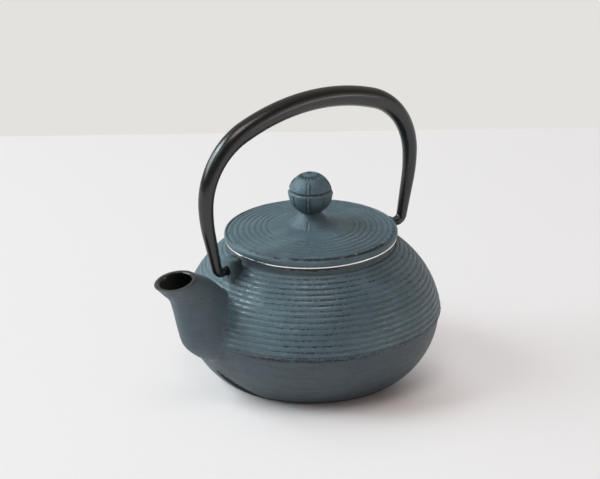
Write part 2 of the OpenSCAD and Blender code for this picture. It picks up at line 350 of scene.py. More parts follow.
def clean(piece):
    """Merges doubled points and turns the faces outwards."""
    open_mesh(piece)
    bpy.ops.mesh.remove_doubles(threshold=MERGE)
    bpy.ops.mesh.normals_make_consistent(inside=False)
    close_mesh()
    return piece


def turned(name, outline, steps):
    """Draws a point along an outline of (radius, height) and spins the line round the pot's axis."""
    clear_selection()
    bpy.ops.mesh.primitive_plane_add(size=MM, location=(outline[0][0] * MM, 0, outline[0][1] * MM))
    piece = bpy.context.object
    piece.name = name
    bpy.ops.object.mode_set(mode="EDIT")
    bpy.ops.mesh.merge(type="CENTER")
    for here, there in zip(outline, outline[1:]):
        step = ((there[0] - here[0]) * MM, 0, (there[1] - here[1]) * MM)
        bpy.ops.mesh.extrude_region_move(TRANSFORM_OT_translate={"value": step})
    bpy.ops.mesh.select_all(action="SELECT")
    bpy.ops.mesh.spin(steps=steps, angle=2 * math.pi, center=(0, 0, 0), axis=(0, 0, 1))
    close_mesh()
    settle(piece)
    return clean(piece)


def lofted(name, rings, sides, closed=True):
    """Adds ring after ring, each as (centre, lean about Y, half length, half width), and bridges them."""
    clear_selection()
    hoops = []
    for centre, lean, long, wide in rings:
        bpy.ops.mesh.primitive_circle_add(vertices=sides, radius=MM, fill_type="NOTHING",
                                          location=Vector(centre) * MM, rotation=(0, lean, 0))
        bpy.context.object.scale = (long, wide, 1.0)
        hoops.append(bpy.context.object)
    for hoop in hoops:
        hoop.select_set(True)
    bpy.context.view_layer.objects.active = hoops[0]
    bpy.ops.object.transform_apply(location=True, rotation=True, scale=True)
    bpy.ops.object.join()
    piece = bpy.context.object
    piece.name = name
    open_mesh(piece)
    bpy.ops.mesh.bridge_edge_loops(type="SINGLE")
    if closed:
        close_ends()
    close_mesh()
    return clean(piece)


def close_ends():
    bpy.ops.mesh.select_all(action="SELECT")
    bpy.ops.mesh.fill_holes(sides=0)


def pick(piece, choose, kind="VERT"):
    """Selects the points that choose picks, or the edges by their two ends, leaves the piece in edit mode and
    gives their numbers."""
    open_mesh(piece)
    bpy.ops.mesh.select_mode(type=kind)
    bpy.ops.mesh.select_all(action="DESELECT")
    close_mesh()
    points = piece.data.vertices
    picked = []
    for thing in points if kind == "VERT" else piece.data.edges:
        ends = [thing.index] if kind == "VERT" else thing.vertices
        thing.select = choose(*[points[k].co / MM for k in ends])
        if thing.select:
            picked.append(thing.index)
    bpy.ops.object.mode_set(mode="EDIT")
    return picked


def put_down():
    """Leaves edit mode, with points as the things to select next time."""
    bpy.ops.mesh.select_mode(type="VERT")
    close_mesh()


def press(piece, choose, depth):
    """Moves the points that choose picks along their normals, outwards for a positive depth, and gives their
    numbers."""
    picked = pick(piece, choose)
    bpy.ops.transform.shrink_fatten(value=depth * MM)
    close_mesh()
    return picked


def apply_modifier(piece, kind, **settings):
    take(piece)
    modifier = piece.modifiers.new(kind.lower(), kind)
    for key, value in settings.items():
        setattr(modifier, key, value)
    bpy.ops.object.modifier_apply(modifier=modifier.name)


def combine(piece, other, operation):
    """Joins another solid to the piece, or cuts it away, and keeps the other's finish on its faces."""
    before = len(piece.data.polygons)
    apply_modifier(piece, "BOOLEAN", object=other, operation=operation, solver="MANIFOLD",
                   material_mode="TRANSFER")
    bpy.data.objects.remove(other, do_unlink=True)
    if len(piece.data.polygons) == before:
        raise RuntimeError("two solids of " + piece.name + " did not combine")


def made(make, tries=4):
    """Makes a piece, and starts it again from nothing if one of its mesh operations fails."""
    before = {thing.name for thing in bpy.data.objects}
    for left in reversed(range(tries)):
        try:
            make()
            return
        except Exception as fault:
            print("made again:", make.__name__, fault)
            if left == 0:
                raise
        clear_selection()
        for thing in list(bpy.data.objects):
            if thing.name not in before:
                bpy.data.objects.remove(thing, do_unlink=True)


def roughen(piece, name, size, strength, group=""):
    """Sinks the surface along its normals by a cloud pattern of the given size, in millimetres."""
    clouds = bpy.data.textures.new(name, "CLOUDS")
    clouds.noise_scale = size * MM
    clouds.noise_depth = 2
    apply_modifier(piece, "DISPLACE", texture=clouds, texture_coords="LOCAL", strength=strength * MM,
                   mid_level=0.85, vertex_group=group)


def finish_with(piece, material):
    piece.data.materials.clear()
    piece.data.materials.append(material)


def hand_over(piece, body, node, slot, degrees=40):
    """Smooths the piece and sets it on its CAD body in the place of its node."""
    take(piece)
    bpy.ops.object.shade_smooth_by_angle(angle=math.radians(degrees))
    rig.ride(piece, body)
    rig.replaces(piece, node)
    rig.slot(piece, slot)


# Finishes

class Nodes:
    """A node tree, with a short word for each kind of node that the finishes use."""

    def __init__(self, tree):
        self.tree = tree

    def link(self, source, target):
        self.tree.links.new(source, target)

    def add(self, kind, inputs=None, **settings):
        """Adds a node, and gives each input a plain value or another node's output."""
        node = self.tree.nodes.new("ShaderNode" + kind)
        for key, value in settings.items():
            setattr(node, key, value)
        for key, value in (inputs or {}).items():
            if hasattr(value, "is_output"):
                self.link(value, node.inputs[key])
            else:
                node.inputs[key].default_value = value
        return node

    def calc(self, operation, *values):
        return self.add("Math", dict(enumerate(values)), operation=operation).outputs[0]

    def plus(self, first, second):
        return self.calc("ADD", first, second)

    def minus(self, first, second):
        return self.calc("SUBTRACT", first, second)

    def most(self, first, second):
        return self.calc("MAXIMUM", first, second)

    def times(self, first, *others):
        for other in others:
            first = self.calc("MULTIPLY", first, other)
        return first

    def vector(self, operation, inputs, output=0):
        return self.add("VectorMath", inputs, operation=operation).outputs[output]

    def dot(self, at, side):
        return self.vector("DOT_PRODUCT", {0: at, 1: side}, "Value")

    def distance(self, at, place):
        return self.vector("DISTANCE", {0: at, 1: place}, "Value")

    def split(self, at):
        return self.add("SeparateXYZ", {0: at}).outputs

    def height(self, at):
        return self.split(at)["Z"]

    def flat(self, at):
        return self.vector("MULTIPLY", {0: at, 1: (1.0, 1.0, 0.0)})

    def radius(self, at):
        return self.vector("LENGTH", {0: self.flat(at)}, "Value")

    def outward(self, at):
        """Unit vector away from the pot's axis."""
        return self.vector("NORMALIZE", {0: self.flat(at)})

    def unrolled(self, at, reach, ruler):
        """Place on a drum of the given radius in millimetres, at the ruler's height."""
        around = self.vector("SCALE", {0: self.outward(at), "Scale": reach * MM})
        return self.vector("ADD", {0: around, 1: self.add("CombineXYZ", {"Z": ruler}).outputs[0]})

    def noise(self, at, size, detail=3.0, roughness=0.5):
        """Noise whose blobs are about size millimetres across."""
        inputs = {"Scale": 1.0 / (size * MM), "Detail": detail, "Roughness": roughness, "Vector": at}
        return self.add("TexNoise", inputs).outputs[0]

    def stretch(self, value, low, high, to_low=0.0, to_high=1.0):
        """Smooth step from one value to another."""
        inputs = {"From Min": low, "From Max": high, "To Min": to_low, "To Max": to_high, "Value": value}
        return self.add("MapRange", inputs, interpolation_type="SMOOTHSTEP").outputs[0]

    def fade(self, length, low, high, to_low=0.0, to_high=1.0):
        """Smooth step along a length, between two places in millimetres."""
        return self.stretch(length, low * MM, high * MM, to_low, to_high)

    def ragged(self, length, at, size, depth, detail=3.0, roughness=0.5):
        """A length with noise of the given size and depth in millimetres added."""
        return self.plus(length, self.times(self.noise(at, size, detail, roughness), depth * MM))

    def facing(self, direction, side, low, high, to_low=0.0, to_high=1.0):
        """Fades between two cosines towards the side that a direction points to."""
        return self.stretch(self.dot(direction, side), low, high, to_low, to_high)

    def blend(self, factor, first, second):
        return self.add("Mix", {0: factor, 6: first, 7: second}, data_type="RGBA").outputs[2]

    def group(self, tree, inputs):
        return self.add("Group", inputs, node_tree=tree).outputs

    def stored(self, name):
        """Value that the piece's points keep as an attribute."""
        return self.add("Attribute", attribute_name=name).outputs["Fac"]

    def put_out(self, **values):
        """Ends a node group: each value gets an output of its name."""
        for label in values:
            self.tree.interface.new_socket(label, in_out="OUTPUT", socket_type="NodeSocketFloat")
        end = self.tree.nodes.new("NodeGroupOutput")
        for label, value in values.items():
            self.link(value, end.inputs[label])
        return self.tree

    def dress(self, shader, colour, height, strength, depth, rough=None):
        """Links a colour, a bump of a depth in millimetres and, where it varies, a roughness to the shader."""
        self.link(colour, shader.inputs["Base Color"])
        if rough is not None:
            self.link(rough, shader.inputs["Roughness"])
        bump = self.add("Bump", {"Strength": strength, "Distance": depth * MM, "Height": height})
        self.link(bump.outputs[0], shader.inputs["Normal"])


def new_group(name, *inputs):
    """Node group with a place and other values going in."""
    tree = bpy.data.node_groups.new(name, "ShaderNodeTree")
    tree.interface.new_socket("Vector", in_out="INPUT", socket_type="NodeSocketVector")
    for label in inputs:
        tree.interface.new_socket(label, in_out="INPUT", socket_type="NodeSocketFloat")
    return Nodes(tree), tree.nodes.new("NodeGroupInput").outputs


def new_material(name, **values):
    """Material with a Principled shader, whose constant values are set on its own sockets."""
    material = bpy.data.materials.new(name)
    material.use_nodes = True
    shader = material.node_tree.nodes["Principled BSDF"]
    for key, value in values.items():
        shader.inputs[key.replace("_", " ").title().replace("Ior", "IOR")].default_value = value
    n = Nodes(material.node_tree)
    return material, n, shader, n.add("TexCoord").outputs["Object"]


# Horizontal way towards the camera, where painted shade in several marks and the polished crests gather
CAMERA_SIDE = (0.598, 0.801, 0.0)
# Way towards the front right of the lid, where the painted shade in its edge groove gathers
GROOVE_SHADE_SIDE = (0.204, 0.979, 0.0)
DRUM_R = 36.0
LINES_R = 5.0
PAINT_LOW = (0.072, 0.126, 0.150, 1.0)
PAINT_HIGH = (0.102, 0.175, 0.204, 1.0)
# Paler paint for crests, partly rubbed and partly painted highlight, and for the painted highlight on the knob's ribs
PAINT_PALE = (0.130, 0.190, 0.215, 1.0)
# Darker paint for turned lines, and for painted shade in the grooves and under the knob's ball
PAINT_SHADE = (0.034, 0.052, 0.061, 1.0)
# Dark iron for specks and bare marks, and the colour of painted shade under lips, in grooves, corners and hollows
IRON_AND_SHADE_DARK = (0.009, 0.010, 0.011, 1.0)
# Greyer neck and bowl as painted shade; the bowl's grey also goes on the spout and round the dark streak
NECK_SHADE_GREY = (0.062, 0.066, 0.070, 1.0)
BOWL_SHADE_GREY = (0.067, 0.088, 0.104, 1.0)
LIP_GREY = (0.040, 0.042, 0.042, 1.0)
WASHER_GREYS = (0.04, 0.042, 0.043, 1.0), (0.11, 0.112, 0.115, 1.0)
LACQUER_BLACKS = (0.006, 0.006, 0.0058, 1.0), (0.010, 0.010, 0.0095, 1.0)
ENAMEL_BLACKS = (0.022, 0.027, 0.023, 1.0), (0.034, 0.041, 0.035, 1.0)


def cast_grain_group():
    """Sandy skin of a casting: a height for bump, a slow tone and a mask of fine specks."""
    n, ins = new_group("cast_grain")
    at = ins["Vector"]
    fine = n.noise(at, 0.55, 4.0, 0.6)
    lumps = n.noise(at, 2.2, 2.0)
    return n.put_out(Height=n.plus(n.times(fine, 0.6), n.times(lumps, 0.4)), Tone=n.noise(at, 14.0, 4.0, 0.6),
                     Specks=n.stretch(n.noise(at, 1.1, 2.0), 0.66, 0.76))


def cast_rings_group():
    """Rings along a ruler: masks of crests, paler partly as rubbed paint and partly as painted highlight, of grooves
    darkened as painted shade, and of dark specks in the grooves, partly bare iron and partly painted shade.
    """
    n, ins = new_group("cast_rings", "Ruler", "Pitch", "WearAndShade")
    at, ruler = ins["Vector"], ins["Ruler"]
    runs = n.noise(n.unrolled(at, DRUM_R, ruler), 1.2, 3.0, 0.6)
    grit = n.noise(at, 0.9, 2.0, 0.6)
    uneven = n.times(n.minus(n.noise(at, 20.0, 2.0), 0.5), 0.3)
    speckled = n.plus(n.times(runs, 0.4), n.times(grit, 0.6))
    # Noise and a bias break the dark specks up; the bias gathers them towards the camera, partly as painted shade
    breakup = n.plus(n.plus(speckled, uneven), ins["WearAndShade"])
    wave = n.calc("COSINE", n.times(n.calc("DIVIDE", ruler, ins["Pitch"]), 2 * math.pi))
    return n.put_out(Crest=n.times(n.stretch(wave, 0.35, -0.45), n.stretch(runs, 0.36, 0.50)),
                     Groove=n.stretch(wave, 0.2, 1.0),
                     Dash=n.times(n.stretch(wave, 0.45, 0.85), n.stretch(breakup, 0.575, 0.640)))


def turned_lines_group():
    """Faint lines round the axis, as a turned mould leaves them."""
    n, ins = new_group("turned_streaks")
    place = n.unrolled(ins["Vector"], LINES_R, n.height(ins["Vector"]))
    return n.put_out(Streak=n.stretch(n.noise(place, 1.3, 3.0, 0.65), 0.38, 0.62))


def painted_iron(name, rings=None, coats=()):
    """Matt blue-grey paint on cast iron. Rings, as (ruler, pitch, zone, wear_and_shade), add paler crests, partly
    rubbed paint and partly painted highlight, grooves darkened as painted shade and dark specks, and coats add more
    colours, each through its own mask, several of them painted shade."""
    material, n, shader, at = new_material(name, roughness=0.5, specular_ior_level=0.5)
    grain = n.group(CAST_GRAIN, {"Vector": at})
    lines = n.group(TURNED_LINES, {"Vector": at})[0]
    rough = n.stretch(grain["Height"], 0.3, 0.7, 0.38, 0.54)
    relief = grain["Height"]
    colour = n.blend(n.stretch(grain["Tone"], 0.3, 0.7), PAINT_LOW, PAINT_HIGH)
    colour = n.blend(n.times(lines, 0.22), colour, PAINT_SHADE)
    dark = n.times(grain["Specks"], 0.25)
    if rings:
        ruler, pitch, zone, wear_and_shade = rings
        inputs = {"Vector": at, "Ruler": ruler(n, at), "Pitch": pitch * MM, "WearAndShade": wear_and_shade(n, at)}
        ring = n.group(CAST_RINGS, inputs)
        mask = zone(n, at)
        crest, groove, dash = [n.times(ring[label], mask) for label in ("Crest", "Groove", "Dash")]
        # Crests paler, partly rubbed paint and partly painted highlight; grooves darker as painted shade
        colour = n.blend(n.times(crest, 0.35), colour, PAINT_PALE)
        colour = n.blend(n.times(groove, 0.16), colour, PAINT_SHADE)
        dark = n.most(dark, n.times(dash, 0.85))
        polish = n.times(crest, n.facing(n.outward(at), CAMERA_SIDE, 0.30, 0.65, 0.3, 1.0))
        rough = n.times(rough, n.stretch(polish, 0.0, 1.0, 1.0, 0.33))
        relief = n.times(relief, n.stretch(crest, 0.0, 1.0, 1.0, 0.10))
    colour = n.blend(dark, colour, IRON_AND_SHADE_DARK)
    for mask_of, tint, strength in coats:
        colour = n.blend(n.times(mask_of(n, at), strength), colour, tint)
    n.dress(shader, colour, n.plus(relief, n.times(lines, 0.12)), 0.8, 0.35, rough)
    return material


def by_height(low, high):
    """Mask that fades in from one height to another, in millimetres."""
    return lambda n, at: n.fade(n.height(at), low, high)


def kept(name, low, high, to_low=0.0):
    """Mask that the piece's points keep as an attribute, made a little uneven."""
    return lambda n, at: n.times(n.stored(name), n.stretch(n.noise(at, 1.2, 2.0), low, high, to_low))


# Bowl and neck greyer as painted shade, painted shade under the knob's ball with its foot kept out of it, painted
# highlight on its ribs and painted shade in its pressed hollows
bowl_zone = by_height(PARTING_Z + 4.0, PARTING_Z - 3.0)
neck_shade_zone = by_height(NECK_Z - 1.5, NECK_Z + 0.5)
knob_under_shade = by_height(BALL_Z, BALL_Z - 6.0)
knob_foot = by_height(BALL_Z - 8.0, BALL_Z - 9.0)
raised = kept("raised", 0.35, 0.6)
hollow_shade = kept("hollow_shade", 0.30, 0.55, 0.35)


def shoulder_ruler(n, at):
    """Length along the shoulder's arc, from its lowest ring."""
    out = n.minus(n.radius(at), SHOULDER_C[0] * MM)
    up = n.minus(n.height(at), SHOULDER_C[1] * MM)
    return n.times(n.minus(n.calc("ARCTAN2", up, out), RING_START), SHOULDER_R * MM)


def shoulder_zone(n, at):
    """The shoulder between the parting step and the neck."""
    height = n.height(at)
    return n.times(n.fade(height, PARTING_Z + 0.6, PARTING_Z + 1.2), n.fade(height, NECK_Z - 0.6, NECK_Z - 1.4))


def shoulder_specks_and_shade(n, at):
    """More of the grooves takes dark specks at the front and under the neck, partly bare iron and partly painted
    shade.
    """
    front = n.facing(n.outward(at), CAMERA_SIDE, 0.86, 0.99)
    return n.plus(n.times(front, 0.085), n.times(n.fade(n.height(at), 48, 56), 0.07))


def shade_under_lip(n, at):
    """Painted shade: rough dark line under the overhanging lip of the parting step, widest at the front."""
    front = n.facing(n.outward(at), CAMERA_SIDE, 0.76, 0.95)
    ragged = n.ragged(n.height(at), at, 2.0, 1.6, 3.0, 0.6)
    low, high = PARTING_Z + 0.8, PARTING_Z + 1.5
    band = n.times(n.fade(ragged, low - 1.2, low - 0.6), n.fade(ragged, high + 0.5, high))
    breakup = n.plus(n.noise(at, 0.9, 3.0, 0.6), n.times(front, 0.13))
    return n.times(band, n.stretch(breakup, 0.55, 0.66))


def bowl_lines(n, at):
    """Turned lines round the bowl, in patches."""
    lines = n.group(TURNED_LINES, {"Vector": at})[0]
    patches = n.stretch(n.noise(at, 11.0, 3.0), 0.35, 0.60, 0.25, 1.0)
    return n.times(lines, patches, bowl_zone(n, at))


def bare_rim_and_shadow(n, at):
    """Rim of the pot under the basket's flange: partly bare iron, where the paint stops short and runs down in drips,
    and partly painted shadow under the flange, deepest towards the camera.
    """
    front = n.facing(n.outward(at), CAMERA_SIDE, 0.85, 0.99)
    deep = n.times(n.noise(at, 2.2, 3.0, 0.65), n.plus(n.times(front, 2.2 * MM), 0.8 * MM))
    return n.fade(n.plus(n.height(at), deep), RIM_Z, RIM_Z + 0.45)


def spout_zone(n, at):
    """The whole spout, a little unevenly, for the bowl's grey of painted shade."""
    return n.stretch(n.noise(at, 9.0, 2.0), 0.2, 0.6, 0.6, 1.0)


def spout_lip(n, at):
    """Bare enamel edge round the spout's mouth."""
    away = n.vector("SUBTRACT", {0: at, 1: (SPOUT_C.x * MM, 0.0, SPOUT_C.y * MM)})
    height = n.dot(away, (SPOUT_UP.x, 0.0, SPOUT_UP.y))
    return n.fade(n.ragged(height, at, 2.0, 0.5), -0.55, -0.15)


def lug_side_shade(n, at):
    """Painted shade on the lug's front side, which is turned from the light, fading downwards and outwards, and at its
    inner end.
    """
    x, y, z = n.split(at)
    ragged = n.ragged(z, at, 2.5, 3.0, 2.0)
    side = n.times(n.fade(y, 3.1, 3.6), n.fade(ragged, 52.0, 65.0, 0.15, 1.0), n.fade(x, 47.8, 45.0, 0.4, 1.0))
    inner = n.times(n.fade(x, 44.6, 43.0), n.fade(ragged, RIM_Z - 0.5, RIM_Z + 1.5))
    return n.most(side, inner)


def lug_shade(n, at):
    """Dark corner between the neck and the front of the lug on the spout's side."""
    away = n.distance(at, (LUG_IN * MM, (LUG_W / 2 + 0.4) * MM, (RIM_Z - 1.5) * MM))
    return n.fade(n.ragged(away, at, 2.5, 2.0, 2.0), 6.5, 2.5)


def lid_ruler(n, at):
    return n.minus(EDGE_GROOVE_R * MM, n.radius(at))


def lid_zone(n, at):
    """The lid between its plain middle and the groove inside its edge."""
    reach = n.radius(at)
    return n.times(n.fade(reach, 17.5, 20.5), n.fade(reach, EDGE_GROOVE_R - 0.4, EDGE_GROOVE_R - 0.9))


def lid_specks_and_shade(n, at):
    # A few more dark specks in the lid's grooves towards the camera, partly bare iron and partly painted shade
    return n.times(n.facing(n.outward(at), CAMERA_SIDE, 0.80, 0.99), 0.03)


def lid_groove_shade(n, at):
    """Painted shade: dark broken line in the groove inside the lid's bead, from the front to the right, away from the
    light.
    """
    side = n.facing(n.outward(at), GROOVE_SHADE_SIDE, 0.60, 0.92)
    ragged = n.ragged(n.radius(at), at, 1.6, 0.7, 3.0, 0.6)
    middle = EDGE_GROOVE_R + 0.1
    band = n.times(n.fade(ragged, middle - 1.6, middle - 1.1), n.fade(ragged, middle + 0.8, middle + 0.4))
    breakup = n.plus(n.noise(at, 2.4, 3.0, 0.6), n.times(side, 0.22))
    above = n.fade(n.height(at), SEAT_Z + 1.2, SEAT_Z + 1.6)
    return n.times(band, above, n.stretch(breakup, 0.58, 0.66))


def streak_mask(n, at):
    """Slanting streak with ragged edges, which sinks towards the front."""
    x, y, z = n.split(at)
    half_length, half_width = STREAK_END / 2 * MM, STREAK_W / 2 * MM
    lifted = n.plus(z, n.times(y, STREAK_FALL))
    lengthways = n.calc("DIVIDE", n.minus(y, half_length), half_length)
    across = n.calc("DIVIDE", n.minus(lifted, STREAK_TOP * MM - half_width), half_width)
    reach = n.plus(n.calc("POWER", lengthways, 2.0), n.calc("POWER", across, 2.0))
    return n.stretch(n.plus(reach, n.times(n.noise(at, 1.8, 3.0, 0.6), 0.8)), 1.5, 1.15)


def dark_streak_finish():
    """Dull dark streak, with the bowl's grey paint round it."""
    material, n, shader, at = new_material("dark_streak_finish", roughness=0.9, specular_ior_level=0.05)
    grain = n.group(CAST_GRAIN, {"Vector": at})
    iron = n.blend(grain["Tone"], IRON_AND_SHADE_DARK, PAINT_SHADE)
    n.dress(shader, n.blend(streak_mask(n, at), BOWL_SHADE_GREY, iron), grain["Height"], 0.4, 0.15)
    return material


def washer_iron():
    material, n, shader, at = new_material("washer_iron", metallic=0.6, roughness=0.55)
    grain = n.group(CAST_GRAIN, {"Vector": at})
    n.dress(shader, n.blend(grain["Tone"], *WASHER_GREYS), grain["Height"], 0.4, 0.15)
    return material


def black_lacquer():
    material, n, shader, at = new_material("bail_lacquer", specular_ior_level=0.75)
    slow = n.noise(at, 16.0, 3.0)
    n.dress(shader, n.blend(slow, *LACQUER_BLACKS), n.noise(at, 1.0, 3.0), 0.12, 0.05,
            n.stretch(slow, 0.3, 0.7, 0.23, 0.29))
    return material


def black_enamel():
    material, n, shader, at = new_material("inner_enamel", roughness=0.16)
    slow = n.noise(at, 5.0, 2.0)
    n.dress(shader, n.blend(slow, *ENAMEL_BLACKS), slow, 0.25, 0.15)
    return material


def bright_steel(name, grey, roughness):
    """Steel with fine drawn lines."""
    material, n, shader, at = new_material(name, metallic=1.0, roughness=roughness)
    drawn = n.add("Mapping", {"Vector": at, "Scale": (0.25, 0.25, 6.0)}).outputs[0]
    lines = n.noise(drawn, 1.2, 3.0)
    pale = tuple(min(1.0, c * 1.12) for c in grey)
    n.dress(shader, n.blend(lines, (*grey, 1.0), (*pale, 1.0)), lines, 0.15, 0.05,
            n.stretch(lines, 0.3, 0.7, roughness - 0.06, roughness + 0.08))
    return material


CAST_GRAIN = cast_grain_group()
CAST_RINGS = cast_rings_group()
TURNED_LINES = turned_lines_group()
BODY_PAINT = painted_iron("body_paint", (shoulder_ruler, BODY_PITCH, shoulder_zone, shoulder_specks_and_shade), [
    (bowl_zone, BOWL_SHADE_GREY, 0.8), (bowl_lines, PAINT_SHADE, 0.42), (neck_shade_zone, NECK_SHADE_GREY, 0.5),
    (bare_rim_and_shadow, IRON_AND_SHADE_DARK, 0.95), (shade_under_lip, IRON_AND_SHADE_DARK, 0.9), (lug_shade, IRON_AND_SHADE_DARK, 0.8)])
SPOUT_PAINT = painted_iron("spout_paint", coats=[(spout_zone, BOWL_SHADE_GREY, 0.6), (spout_lip, LIP_GREY, 1.0)])
LUG_PAINT = painted_iron("lug_paint", coats=[(lug_side_shade, IRON_AND_SHADE_DARK, 0.85)])
LID_PAINT = painted_iron("lid_paint", (lid_ruler, LID_PITCH, lid_zone, lid_specks_and_shade),
                         [(lid_groove_shade, IRON_AND_SHADE_DARK, 0.9)])
# Painted shade under the ball, plain paint on its foot, painted highlight on the ribs and painted shade in the pressed
# hollows
KNOB_PAINT = painted_iron("knob_paint", coats=[
    (knob_under_shade, PAINT_SHADE, 0.75), (knob_foot, PAINT_LOW, 1.0), (raised, PAINT_PALE, 0.7),
    (hollow_shade, IRON_AND_SHADE_DARK, 0.8)])
LACQUER = black_lacquer()
ENAMEL = black_enamel()
STEEL = bright_steel("pressed_steel", (0.84, 0.84, 0.83), 0.20)
WIRE = bright_steel("woven_wire", (0.60, 0.60, 0.59), 0.34)
WASHER_IRON = washer_iron()
DARK_STREAK_FINISH = dark_streak_finish()


# Pot

def groove_depth(phase):
    """Share of a ring's depth at a phase from 0 to 1, with the groove at 0."""
    return (0.5 + 0.5 * math.cos(2 * math.pi * phase)) ** 1.8


def ringed_shoulder():
    points = []
    for ring in range(BODY_RINGS):
        for phase in (0.0, 0.12, 0.25, 0.37, 0.5, 0.63, 0.75, 0.88):
            a = RING_START + (RING_END - RING_START) * (ring + phase) / BODY_RINGS
            reach = SHOULDER_R - BODY_RING_DEPTH * groove_depth(phase)
            points.append((SHOULDER_C[0] + reach * math.cos(a), SHOULDER_C[1] + reach * math.sin(a)))
    return points


def casting_outline():
    foot = [(0, 0), (BASE_R - EDGE, 0), (BASE_R, EDGE), (BASE_R, BASE_H)]
    bowl = arc(BOWL_C, BOWL_R, angle_at_height(BOWL_C, BOWL_R, BASE_H),
               angle_at_height(BOWL_C, BOWL_R, PARTING_Z), 30)
    lip = [(LIP_R - LIP_BEVEL, PARTING_Z), (LIP_R - 0.15, PARTING_Z + 0.3), (LIP_R, PARTING_Z + 2 * LIP_BEVEL)]
    neck = [(NECK_R, NECK_Z), (NECK_R, NECK_Z + 1.0), (NECK_R, RIM_Z - EDGE), (NECK_R - EDGE, RIM_Z),
            (0, RIM_Z)]
    return foot + bowl + lip + ringed_shoulder() + neck


def room_outline():
    bowl = arc(BOWL_C, BOWL_IN_R, angle_at_height(BOWL_C, BOWL_IN_R, FLOOR_Z),
               angle_at_height(BOWL_C, BOWL_IN_R, PARTING_Z), 24)
    shoulder = arc(SHOULDER_IN_C, SHOULDER_IN_R,
                   angle_at_height(SHOULDER_IN_C, SHOULDER_IN_R, PARTING_Z + LIP_BEVEL),
                   angle_at_radius(SHOULDER_IN_C, SHOULDER_IN_R, MOUTH_R), 24)
    mouth = [(MOUTH_R, RIM_Z - EDGE), (MOUTH_R + 2 * EDGE, RIM_Z + EDGE), (0, RIM_Z + EDGE)]
    return [(0, FLOOR_Z)] + bowl + shoulder + mouth


def below_rim(points):
    return [Vector((BODY_R + x, RIM_Z - z)) for x, z in points]


def along(points, share):
    """Point at a share of a smooth curve through the points."""
    last = len(points) - 1
    k = min(int(share * last), last - 1)
    u = share * last - k
    a, b = points[max(k - 1, 0)], points[k]
    c, d = points[k + 1], points[min(k + 2, last)]
    return 0.5 * (2 * b + (c - a) * u + (2 * a - 5 * b + 4 * c - d) * u ** 2 + (3 * b - a - 3 * c + d) * u ** 3)


def spout_half(share):
    if share < 0.2:
        return SPOUT_R + (SPOUT_WAIST - SPOUT_R) * math.sin(math.pi / 2 * share / 0.2)
    return SPOUT_WAIST + (SPOUT_ROOT - SPOUT_WAIST) * (1 - math.cos(math.pi / 2 * (share - 0.2) / 0.8))


def spout_ring(share, inset, shift=0.0):
    front = along([SPOUT_C + SPOUT_R * SPOUT_LEAN] + below_rim(SPOUT_FRONT), share) + shift * SPOUT_UP
    back = along([SPOUT_C - SPOUT_R * SPOUT_LEAN] + below_rim(SPOUT_BACK), share) + shift * SPOUT_UP
    middle, half = (front + back) / 2, (front - back) / 2
    lean = -math.atan2(half.y, half.x)
    return (middle.x, 0, middle.y), lean, half.length - inset, spout_half(share) - inset


def spout_tube(name, lip, inset):
    """Closed tube down the spout, from the rings of its lip, at an inset from the outer skin."""
    side = [spout_ring(k / SPOUT_RINGS, inset) for k in range(1, SPOUT_RINGS + 1)]
    return lofted(name, [spout_ring(0, *ring) for ring in lip] + side, SPOUT_SIDES)


def lug(side):
    """Tab with a round top, bevelled along its edges."""
    low, high = SHOULDER_C[1] + SHOULDER_R / 2, LUG_TOP_Z[side]
    thick = LUG_T[side]
    middle = LUG_IN - LUG_INSET[side] + thick / 2
    clear_selection()
    bpy.ops.mesh.primitive_cube_add(size=MM, location=(side * middle * MM, 0, (high + low) / 2 * MM))
    bpy.context.object.scale = (thick, LUG_W, high - low)
    piece = settle(bpy.context.object)
    piece.name = "lug"

    def top_side(a, b):
        return abs(a.z - high) < 0.01 and abs(b.z - high) < 0.01 and abs(a.y - b.y) < 0.01

    pick(piece, top_side, "EDGE")
    bpy.ops.mesh.bevel(offset=LUG_ROUND[side] * MM, segments=12, profile=0.5)
    put_down()
    apply_modifier(piece, "BEVEL", width=0.5 * MM, segments=3, limit_method="ANGLE",
                   angle_limit=math.radians(50))
    return clean(piece)


def pin_hole(side):
    start, end = PIN_END - 0.5, LUG_IN + LUG_T[side] + 1.0
    clear_selection()
    bpy.ops.mesh.primitive_cylinder_add(
        vertices=48, radius=HOLE_R * MM, depth=(end - start) * MM, rotation=(0, math.pi / 2, 0),
        location=(side * (start + end) / 2 * MM, 0, HINGE_Z * MM))
    return settle(bpy.context.object)


def mark_grooves(piece):
    """Weights for the ring grooves and for the lip of the parting step."""
    grooves = piece.vertex_groups.new(name="grooves")
    lip = piece.vertex_groups.new(name="lip")
    for vertex in piece.data.vertices:
        reach = math.hypot(vertex.co.x, vertex.co.y) / MM - SHOULDER_C[0]
        turn = math.atan2(vertex.co.z / MM - SHOULDER_C[1], reach)
        count = (turn - RING_START) / (RING_END - RING_START) * BODY_RINGS
        if -0.05 < count < BODY_RINGS:
            grooves.add([vertex.index], groove_depth(count % 1.0) * 0.8 + 0.2, "REPLACE")
        elif abs(vertex.co.z / MM - PARTING_Z - 0.3) < 0.8 and reach > 20:
            lip.add([vertex.index], 1.0, "REPLACE")


def soften_joins(piece, finish, width, passes):
    """Rounds the corner round the faces of one finish, fading out over a width in millimetres."""
    around, inside = set(), set()
    for face in piece.data.polygons:
        (inside if face.material_index == finish else around).update(face.vertices)
    seam = around & inside
    nearest = KDTree(len(seam))
    for k in seam:
        nearest.insert(piece.data.vertices[k].co, k)
    nearest.balance()
    joins = piece.vertex_groups.new(name="joins")
    for vertex in piece.data.vertices:
        away = nearest.find(vertex.co)[2] / MM
        if away < width:
            joins.add([vertex.index], 1.0 - away / width, "REPLACE")
    apply_modifier(piece, "SMOOTH", factor=0.5, iterations=passes, vertex_group=joins.name)
    piece.vertex_groups.remove(piece.vertex_groups[joins.name])


